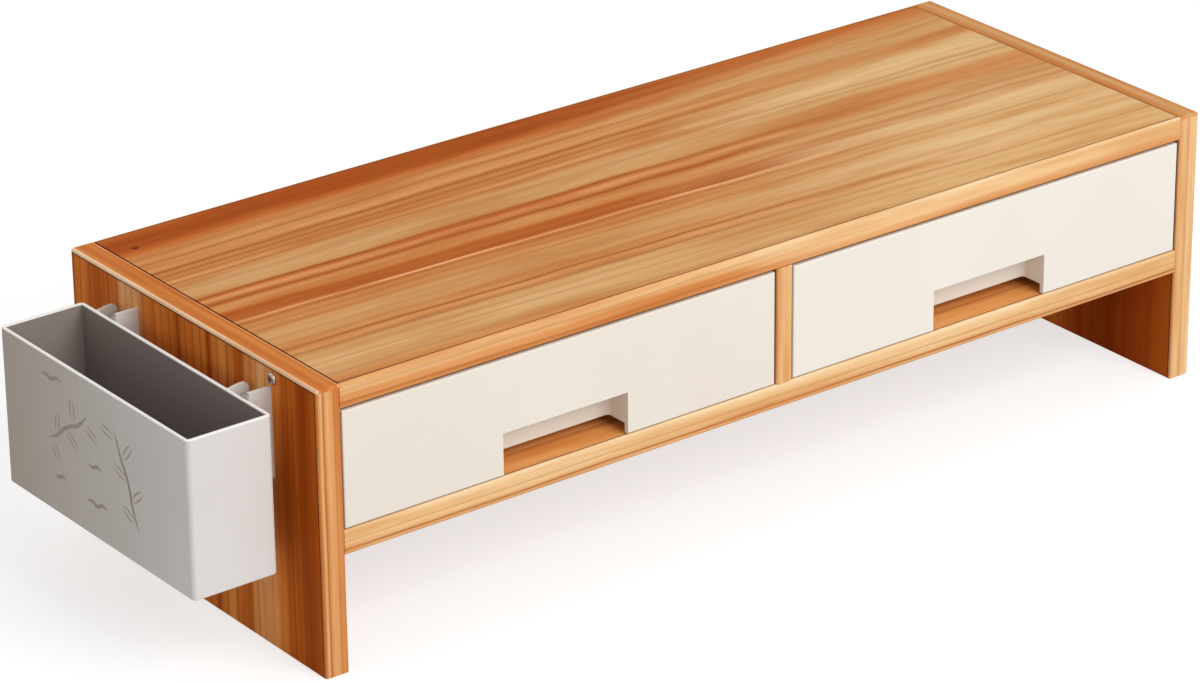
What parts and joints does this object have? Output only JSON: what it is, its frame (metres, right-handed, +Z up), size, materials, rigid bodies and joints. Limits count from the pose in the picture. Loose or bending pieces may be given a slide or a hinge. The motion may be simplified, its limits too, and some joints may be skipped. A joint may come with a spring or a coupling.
{
  "type": "desktop monitor stand with drawers",
  "caption": "Low wooden desktop stand with pull-out plastic drawers under its top, room for a keyboard below, and a plastic storage bin hooked on its left side.",
  "frame": {"origin": "on the desk, under the middle of the whole object with its side bin", "axes": "+X along the stand's width to the viewer's right, +Y from the drawer fronts to the back, +Z up"},
  "size_m": [0.578, 0.2, 0.14],
  "materials": {
    "laminated_board": "satin laminate with warm straight grain",
    "edge_band": "satin edge banding with the board's grain",
    "beech_dowel": "plain turned beech",
    "back_board": "thin fibreboard with a wood-pattern face",
    "screw_nickel": "nickel plated",
    "drawer_plastic": "fine-textured cream moulding",
    "bin_plastic": "fine-textured light grey moulding",
    "hook_plastic": "light grey moulding"
  },
  "bodies": {
    "carcass": {"side_panel_left": "laminated_board", "side_panel_right": "laminated_board", "top_board": "laminated_board", "drawer_shelf": "laminated_board", "centre_divider": "laminated_board", "side_panel_left_edge_bands": "edge_band", "side_panel_right_edge_bands": "edge_band", "top_board_edge_bands": "edge_band", "drawer_shelf_edge_bands": "edge_band", "centre_divider_edge_band": "edge_band", "back_panel": "back_board", "top_board_dowels": "beech_dowel", "shelf_dowels": "beech_dowel", "divider_dowels": "beech_dowel", "top_board_screws": "screw_nickel", "shelf_screws": "screw_nickel", "divider_screws": "screw_nickel", "bin_hook_screws": "screw_nickel", "bin_hook_front": "hook_plastic", "bin_hook_rear": "hook_plastic"},
    "left_drawer": {"drawer_left": "drawer_plastic"},
    "right_drawer": {"drawer_right": "drawer_plastic"},
    "side_bin": {"storage_bin": "bin_plastic"}
  },
  "joints": [
    {"name": "left_drawer_slide", "type": "slide", "parent": "carcass", "child": "left_drawer", "axis": [0, -1, 0], "range_m": [0, 0.165]},
    {"name": "right_drawer_slide", "type": "slide", "parent": "carcass", "child": "right_drawer", "axis": [0, -1, 0], "range_m": [0, 0.165]},
    {"name": "bin_lift", "type": "slide", "parent": "carcass", "child": "side_bin", "axis": [0, 0, 1], "range_m": [0, 0.095]}
  ]
}
